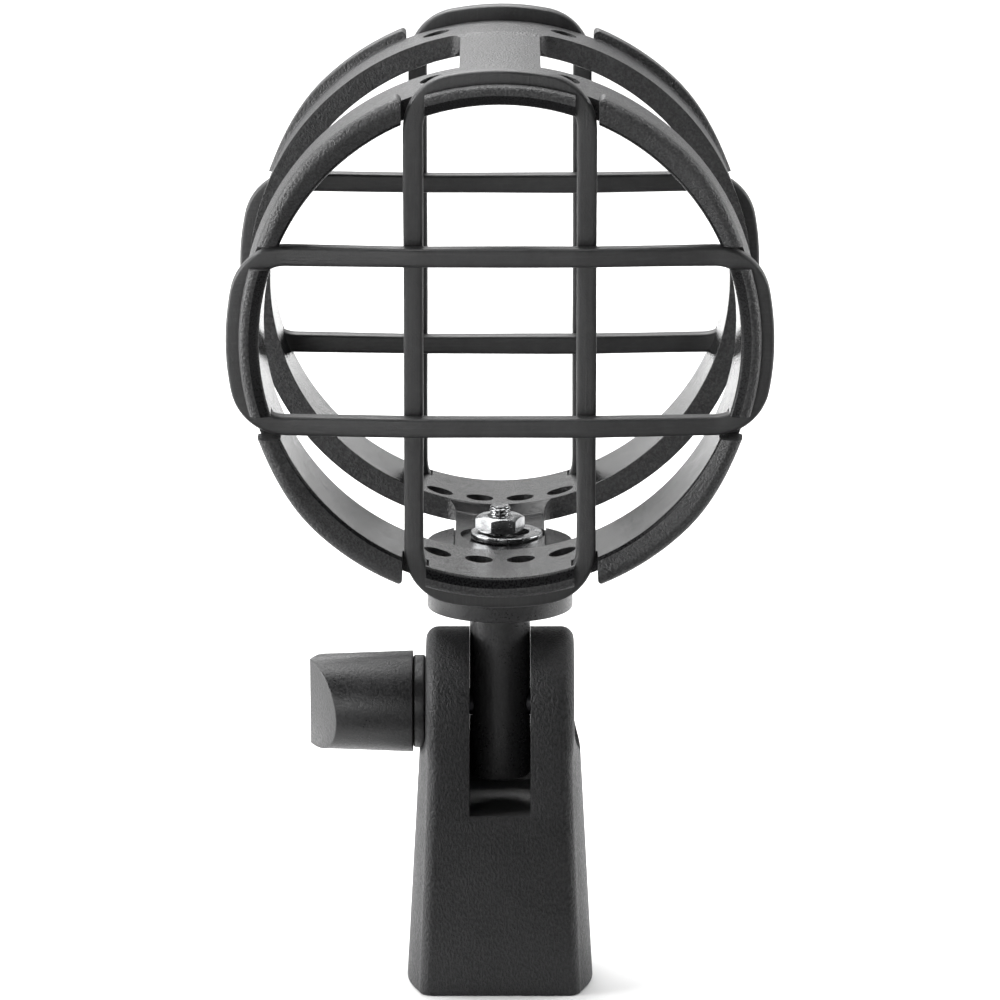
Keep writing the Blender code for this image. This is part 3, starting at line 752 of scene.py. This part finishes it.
def knob():
    """The knob's turned body, longer than it ends up, for its two end facets to be cut from."""
    slope = (KNOB_OUTER_R - KNOB_INNER_R) / (KNOB_RIDGE_X - KNOB_END_X)
    tip = (KNOB_RIDGE_X - KNOB_SPARE, KNOB_OUTER_R - slope * KNOB_SPARE)
    body = turned("X", (tip, (KNOB_END_X, KNOB_INNER_R)), ROUND)
    return shifted(body, (0, 0, PIVOT_Z))


def knob_cutters():
    """The wedge-shaped outer end, turned a little about X, and the blind bore for the screw."""
    reach = 2.0 * KNOB_OUTER_R
    back = KNOB_RIDGE_X + KNOB_FACET_DEPTH * reach / KNOB_OUTER_R
    front = KNOB_RIDGE_X - WEDGE_PAST
    for side in (1, -1):
        over = -side * WEDGE_OVERLAP
        outline = (
            (KNOB_RIDGE_X, 0.0), (back, side * reach), (front, side * reach), (front, over),
            (KNOB_RIDGE_X - WEDGE_OVERLAP * KNOB_FACET_DEPTH / KNOB_OUTER_R, over),
        )
        wedge = loft([[(x, y, z) for x, y in outline] for z in (-WEDGE_HALF, WEDGE_HALF)])
        turn = Matrix.Rotation(radians(KNOB_TURN_DEG), 3, "X")
        bmesh.ops.rotate(wedge, verts=wedge.verts, matrix=turn)
        yield shifted(wedge, (0, 0, PIVOT_Z))
    yield shifted(rod("X", SCREW_X - GAP, 0.0, SCREW_R + GAP), (0, 0, PIVOT_Z))


def collar():
    section = tube_profile(COLLAR_X, COLLAR_END_X, SCREW_R + GAP, COLLAR_R, COLLAR_EDGE)
    ring = turned_ring("X", softened(section, COLLAR_SOFT), ROUND)
    return shifted(ring, (0, 0, PIVOT_Z))


def screw():
    """The clamp screw, with a chamfer at each end."""
    profile = (
        (SCREW_X, SCREW_R - SCREW_EDGE), (SCREW_X + SCREW_EDGE, SCREW_R),
        (SCREW_END_X - SCREW_EDGE, SCREW_R), (SCREW_END_X, SCREW_R - SCREW_EDGE),
    )
    return shifted(turned("X", profile, SMALL_ROUND), (0, 0, PIVOT_Z))


def washer():
    section = (
        (WASHER_Z, WASHER_BORE_R), (WASHER_TOP_Z, WASHER_BORE_R), (WASHER_TOP_Z, WASHER_R),
        (WASHER_Z, WASHER_R),
    )
    ring = turned_ring("Z", softened(section, WASHER_SOFT, steps=5), ROUND)
    return shifted(ring, (WASHER_X, 0, 0))


class Nodes:
    """One material's node tree, built from its Principled BSDF outward."""

    def __init__(self, name, colour, roughness, metallic=0.0):
        self.material = bpy.data.materials.new(name)
        self.material.use_nodes = True
        self.tree = self.material.node_tree
        self.shader = self.tree.nodes["Principled BSDF"]
        self.shader.inputs["Base Color"].default_value = (*colour, 1.0)
        self.shader.inputs["Roughness"].default_value = roughness
        self.shader.inputs["Metallic"].default_value = metallic
        self.place = self.new("ShaderNodeTexCoord").outputs["Object"]

    def new(self, kind, **settings):
        node = self.tree.nodes.new(kind)
        for key, value in settings.items():
            setattr(node, key, value)
        return node

    def link(self, source, node, socket):
        self.tree.links.new(source, node.inputs[socket])

    def noise(self, scale, detail=3.0, rough=0.6):
        """Noise whose features per metre differ along X, Y and Z."""
        spread = self.new("ShaderNodeMapping")
        spread.inputs["Scale"].default_value = scale
        self.link(self.place, spread, "Vector")
        noise = self.new("ShaderNodeTexNoise")
        noise.inputs["Scale"].default_value = 1.0
        noise.inputs["Detail"].default_value = detail
        noise.inputs["Roughness"].default_value = rough
        self.link(spread.outputs[0], noise, "Vector")
        return noise.outputs["Fac"]

    def ramp(self, source, low, high, from_value, to_value):
        """source from low to high becomes from_value to to_value, held level beyond."""
        ramp = self.new("ShaderNodeMapRange")
        for socket, value in zip(RANGE, (low, high, from_value, to_value)):
            ramp.inputs[socket].default_value = value
        self.link(source, ramp, "Value")
        return ramp.outputs[0]

    def sum(self, *sources):
        total = sources[0]
        for source in sources[1:]:
            add = self.new("ShaderNodeMath", operation="ADD")
            self.link(total, add, 0)
            self.link(source, add, 1)
            total = add.outputs[0]
        return total

    def colour(self, share, dark, light):
        """Base colour between two colours."""
        mix = self.new("ShaderNodeMix", data_type="RGBA")
        mix.inputs["A"].default_value = (*dark, 1.0)
        mix.inputs["B"].default_value = (*light, 1.0)
        self.link(share, mix, "Factor")
        self.link(mix.outputs["Result"], self.shader, "Base Color")

    def roughness(self, value):
        self.link(value, self.shader, "Roughness")

    def inward(self):
        """The cage's inward normal: straight at its axis, however its faces are divided."""
        offset = self.new("ShaderNodeVectorMath", operation="MULTIPLY_ADD")
        self.link(self.place, offset, 0)
        offset.inputs[1].default_value = (-1.0, 0.0, -1.0)
        offset.inputs[2].default_value = (0.0, 0.0, RING_Z * MM)
        unit = self.new("ShaderNodeVectorMath", operation="NORMALIZE")
        self.link(offset.outputs[0], unit, 0)
        turn = self.new("ShaderNodeVectorTransform", vector_type="NORMAL")
        turn.convert_from, turn.convert_to = "OBJECT", "WORLD"
        self.link(unit.outputs[0], turn, 0)
        return turn.outputs[0]

    def relief(self, height, distance, strength=1.0, edge=0.0, normal=None):
        """Surface relief of that depth in metres, over edges rounded by that radius."""
        bump = self.new("ShaderNodeBump")
        bump.inputs["Distance"].default_value = distance
        bump.inputs["Strength"].default_value = strength
        self.link(height, bump, "Height")
        if edge:
            bevel = self.new("ShaderNodeBevel", samples=4)
            bevel.inputs["Radius"].default_value = edge
            normal = bevel.outputs[0]
        if normal:
            self.link(normal, bump, "Normal")
        self.link(bump.outputs[0], self.shader, "Normal")


def plastic(name, dark, light, rough, grain, depth, edge=MOULDED_EDGE, speckle=0.5, specular=0.5):
    """Moulded plastic: cloudy gloss, and a grain whose high spots are paler and duller.

    grain is its features per metre along X, Y and Z. Its depth and the edges' radius are in
    metres, and speckle says how much paler its high spots are.
    """
    made = Nodes(name, dark, rough)
    made.shader.inputs["Specular IOR Level"].default_value = specular
    fine = made.noise(grain, 2.0, 0.6)
    cloud = made.noise((90, 90, 90), 3.0, 0.6)
    made.colour(
        made.sum(made.ramp(cloud, 0.35, 0.7, 0.0, 0.3), made.ramp(fine, 0.4, 0.66, 0.0, speckle)),
        dark,
        light,
    )
    made.roughness(
        made.sum(
            made.ramp(fine, 0.35, 0.65, rough - 0.1, rough + 0.1),
            made.ramp(cloud, 0.3, 0.7, -0.04, 0.05),
        )
    )
    made.relief(fine, depth, 1.0, edge)
    return made.material


def glossy_plastic(name, rough, curved):
    """The cage's polished inside: gloss with the faint waves and fine scuffs of a moulding."""
    made = Nodes(name, GLOSS_DARK, rough)
    waves = made.noise((160, 160, 160), 2.0, 0.5)
    scuffs = made.noise((900, 3200, 900), 3.0, 0.7)
    made.colour(made.ramp(waves, 0.3, 0.7, 0.0, 0.6), GLOSS_DARK, GLOSS_LIGHT)
    made.roughness(
        made.sum(
            made.ramp(scuffs, 0.45, 0.75, rough - 0.03, rough + 0.12),
            made.ramp(waves, 0.3, 0.7, -0.02, 0.05),
        )
    )
    height = made.sum(made.ramp(waves, 0.0, 1.0, 0.0, 1.0), scuffs)
    if curved:
        made.relief(height, 0.00006, 0.7, normal=made.inward())
    else:
        made.relief(height, 0.000012, 0.7, MOULDED_EDGE)
    return made.material


def rubber(name, along):
    """Moulded rubber: faint lines along the band, pale bloom, and fine pits."""
    made = Nodes(name, RUBBER_DARK, 0.42)
    lines = made.noise(along, 2.0, 0.55)
    bloom = made.noise((140, 140, 140), 4.0, 0.65)
    pits = made.noise((2800, 2800, 2800), 2.0, 0.6)
    made.colour(
        made.sum(made.ramp(bloom, 0.38, 0.7, 0.0, 0.6), made.ramp(lines, 0.5, 0.8, 0.0, 0.4)),
        RUBBER_DARK,
        RUBBER_LIGHT,
    )
    made.roughness(
        made.sum(made.ramp(bloom, 0.3, 0.7, 0.36, 0.5), made.ramp(pits, 0.4, 0.7, -0.03, 0.05))
    )
    made.shader.inputs["Specular IOR Level"].default_value = 0.45
    made.relief(made.sum(lines, made.ramp(pits, 0.3, 0.7, 0.0, 0.5)), 0.00005, 0.8)
    return made.material


def metal(name, dark, light, rough, brushed, depth):
    """Plated or turned metal: tool marks, uneven plating and small dull spots."""
    made = Nodes(name, light, rough, 1.0)
    marks = made.noise(brushed, 3.0, 0.65)
    patches = made.noise((420, 420, 420), 3.0, 0.6)
    made.colour(made.ramp(patches, 0.35, 0.62, 0.0, 1.0), dark, light)
    made.roughness(
        made.sum(
            made.ramp(marks, 0.3, 0.7, rough - 0.05, rough + 0.08),
            made.ramp(patches, 0.55, 0.75, 0.0, 0.1),
        )
    )
    made.relief(marks, depth, 0.6, METAL_EDGE)
    return made.material


def new_materials():
    return {
        "base": plastic(
            "grained_black_plastic", (0.004, 0.004, 0.0045), (0.022, 0.022, 0.023), 0.48,
            grain=(2500, 2500, 1400), depth=0.0003, speckle=0.8, specular=0.32,
        ),
        "knob": plastic(
            "knob_black_plastic", (0.01, 0.01, 0.0105), (0.027, 0.027, 0.028), 0.4,
            grain=(2300, 2300, 2300), depth=0.00006, edge=0.0003,
        ),
        "stem": plastic(
            "stem_black_plastic", (0.012, 0.012, 0.0125), (0.03, 0.03, 0.031), 0.36,
            grain=(2600, 2600, 2600), depth=0.00003,
        ),
        "cage": plastic(
            "cage_black_plastic", (0.008, 0.008, 0.0085), (0.04, 0.04, 0.041), 0.42,
            grain=(2400, 2400, 2400), depth=0.00024, speckle=0.8,
        ),
        "slot": plastic(
            "base_smooth_slot", (0.028, 0.028, 0.0285), (0.05, 0.05, 0.051), 0.6,
            grain=(2600, 2600, 2600), depth=0.00002,
        ),
        "inside": glossy_plastic("cage_polished_inside", 0.12, curved=True),
        "step": glossy_plastic("cage_polished_steps", 0.16, curved=False),
        "lip": plastic(
            "cage_smooth_lip", (0.005, 0.005, 0.0055), (0.01, 0.01, 0.0105), 0.3,
            grain=(2600, 2600, 2600), depth=0.00002, specular=0.2,
        ),
        "upright": rubber("band_rubber_upright", (2600, 2600, 60)),
        "level": rubber("band_rubber_level", (60, 2600, 2600)),
        "zinc": metal(
            "zinc_plated_steel", (0.18, 0.183, 0.187), (0.4, 0.405, 0.41), 0.2,
            brushed=(900, 900, 5200), depth=0.00003,
        ),
        "black": metal(
            "black_steel", (0.03, 0.03, 0.032), (0.06, 0.06, 0.065), 0.36,
            brushed=(5200, 900, 900), depth=0.00001,
        ),
        "brass": metal(
            "brass", (0.55, 0.4, 0.17), (0.82, 0.63, 0.32), 0.26,
            brushed=(700, 700, 4200), depth=0.000015,
        ),
    }


def cage_finish(centre, normal):
    """The cage's finish where a face has this centre and normal."""
    out = Vector((centre.x, 0.0, centre.z - RING_Z)).normalized()
    inward = -normal.dot(out)
    if inward > POLISHED_FROM:
        return POLISHED
    at_end = abs(centre.y) > END_Y - LIP_BACK
    if inward > STEP_FROM:
        return LIP if at_end else STEP
    beside_axis = min(abs(out.x), abs(out.z)) < sin(radians(NEXT_ZONE_DEG))
    return LIP if beside_axis and inward > LIP_FROM and at_end else GRAINED


def base_finish(centre, normal):
    """1 on the base's smooth slot, and 0 on its grained outside."""
    within = abs(centre.x) < SLOT_HALF + HAIR and centre.z > SLOT_Z - SMOOTH_BELOW
    return int(within and abs(centre.y) < BASE_DEPTH_HALF - SMOOTH_INSET)


def build_base(looks):
    mesh = bevelled(carved(base_block(), base_cutters()), BASE_BEVEL, BASE_BEVEL_DEG)
    plastics = [looks["base"], looks["slot"]]
    new_piece("stand_base", mesh, "base", plastics, base_finish)
    new_piece("thread_insert", mesh_from("insert", insert()), "base", [looks["brass"]])
    mesh = nut(
        "X", CLAMP_NUT_FLATS, (CLAMP_NUT_X, CLAMP_NUT_END_X), SCREW_R + GAP / 2, PIVOT_Z
    )
    new_piece("clamp_nut", mesh, "base", [looks["zinc"]])


def build_clamp(looks):
    mesh = mesh_from("collar", collar())
    new_piece("clamp_collar", mesh, "collar", [looks["knob"]])
    mesh = bevelled(carved(knob(), knob_cutters()), KNOB_EDGE, KNOB_BEVEL_DEG)
    new_piece("clamp_knob", mesh, "knob", [looks["knob"]])
    mesh = mesh_from("screw", screw())
    new_piece("clamp_screw", mesh, "knob", [looks["black"]])


def build_head(looks):
    mesh = carved(stem(), stem_cutters())
    new_piece("swivel_stem", mesh, "head", [looks["stem"]])
    mesh = carved(cage_wall(), cage_cutters())
    plastics = [looks[key] for key in ("cage", "inside", "step", "lip")]
    new_piece("cage", mesh, "head", plastics, cage_finish)
    for place, plane in (("front", -BAND_Y), ("rear", BAND_Y)):
        for way, upright, seed in (("vertical", True, 1.0), ("horizontal", False, 2.3)):
            mesh = mesh_from("band", band(plane, upright, seed + plane))
            rubbers = [looks["upright" if upright else "level"]]
            new_piece(f"band_{place}_{way}", mesh, "head", rubbers)
    new_piece("cage_stud", mesh_from("stud", stud()), "head", [looks["zinc"]])
    new_piece(
        "cage_washer", mesh_from("washer", washer()), "head", [looks["zinc"]]
    )
    mesh = nut("Z", NUT_FLATS, (NUT_Z, NUT_TOP_Z), STUD_R + GAP / 5, turn=NUT_TURN_DEG)
    new_piece("cage_nut", mesh, "head", [looks["zinc"]])


def sheet(name, low, high, height, dark, light):
    """A level rectangle of the studio, between two (x, y) corners in metres."""
    (x0, y0), (x1, y1) = low, high
    mesh = bpy.data.meshes.new(name)
    corners = [(x0, y0, height), (x1, y0, height), (x1, y1, height), (x0, y1, height)]
    mesh.from_pydata(corners, [], [(0, 1, 2, 3)])
    made = Nodes(name, light, 0.7)
    made.colour(made.ramp(made.noise((6, 6, 6)), 0.3, 0.7, 0.0, 1.0), dark, light)
    mesh.materials.append(made.material)
    placed = added(name, mesh)
    placed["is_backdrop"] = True
    return placed


def build_floor():
    """A pale seamless floor, and an unseen dark card that keeps its glare off the front faces."""
    corner = (FLOOR_HALF, FLOOR_HALF)
    sheet("floor", (-FLOOR_HALF, -FLOOR_HALF), corner, 0.0, FLOOR_DARK, FLOOR_LIGHT)
    card = sheet("card", CARD_FROM, CARD_TO, CARD_Z, CARD_DARK, CARD_LIGHT)
    card.visible_camera = card.visible_shadow = False


def add_light(name, place, size, power):
    """A square soft light that faces the cage."""
    lamp = bpy.data.lights.new(name, "AREA")
    lamp.shape, lamp.size, lamp.energy = "SQUARE", size, power
    light = added(name, lamp)
    light.location = place
    light.visible_camera = False
    aim = Vector((0.0, 0.0, RING_Z * MM)) - light.location
    light.rotation_euler = aim.to_track_quat("-Z", "Y").to_euler()


def build_sky():
    """A white studio, bright behind the mount near the floor, and dim behind the camera."""
    world = bpy.data.worlds.new("studio")
    bpy.context.scene.world = world
    world.use_nodes = True
    tree = world.node_tree
    place = tree.nodes.new("ShaderNodeTexCoord")
    axes = tree.nodes.new("ShaderNodeSeparateXYZ")
    tree.links.new(place.outputs["Generated"], axes.inputs[0])
    product = tree.nodes.new("ShaderNodeMath")
    product.operation = "MULTIPLY"
    for factor, (axis, values) in enumerate((("Y", SKY_AWAY), ("Z", SKY_UP))):
        ramp = tree.nodes.new("ShaderNodeMapRange")
        ramp.interpolation_type = "SMOOTHSTEP"
        for socket, value in zip(RANGE, values):
            ramp.inputs[socket].default_value = value
        tree.links.new(axes.outputs[axis], ramp.inputs["Value"])
        tree.links.new(ramp.outputs[0], product.inputs[factor])
    background = tree.nodes["Background"]
    background.inputs["Color"].default_value = (*WHITE, 1.0)
    tree.links.new(product.outputs[0], background.inputs["Strength"])


def build_camera():
    data = bpy.data.cameras.new("camera")
    data.lens = LENS
    camera = added("camera", data)
    camera.location = CAMERA_PLACE
    camera.rotation_euler = (radians(90 - CAMERA_ELEVATION), 0.0, 0.0)
    bpy.context.scene.camera = camera


def main():
    looks = new_materials()
    build_base(looks)
    build_clamp(looks)
    build_head(looks)
    build_floor()
    for light in LIGHTS:
        add_light(*light)
    build_sky()
    build_camera()
    bpy.context.scene.view_settings.view_transform = "Standard"
    boxes = {"cad": cad_box, "visual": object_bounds()}
    {key: [list(corner) for corner in box] for key, box in boxes.items()}


main()
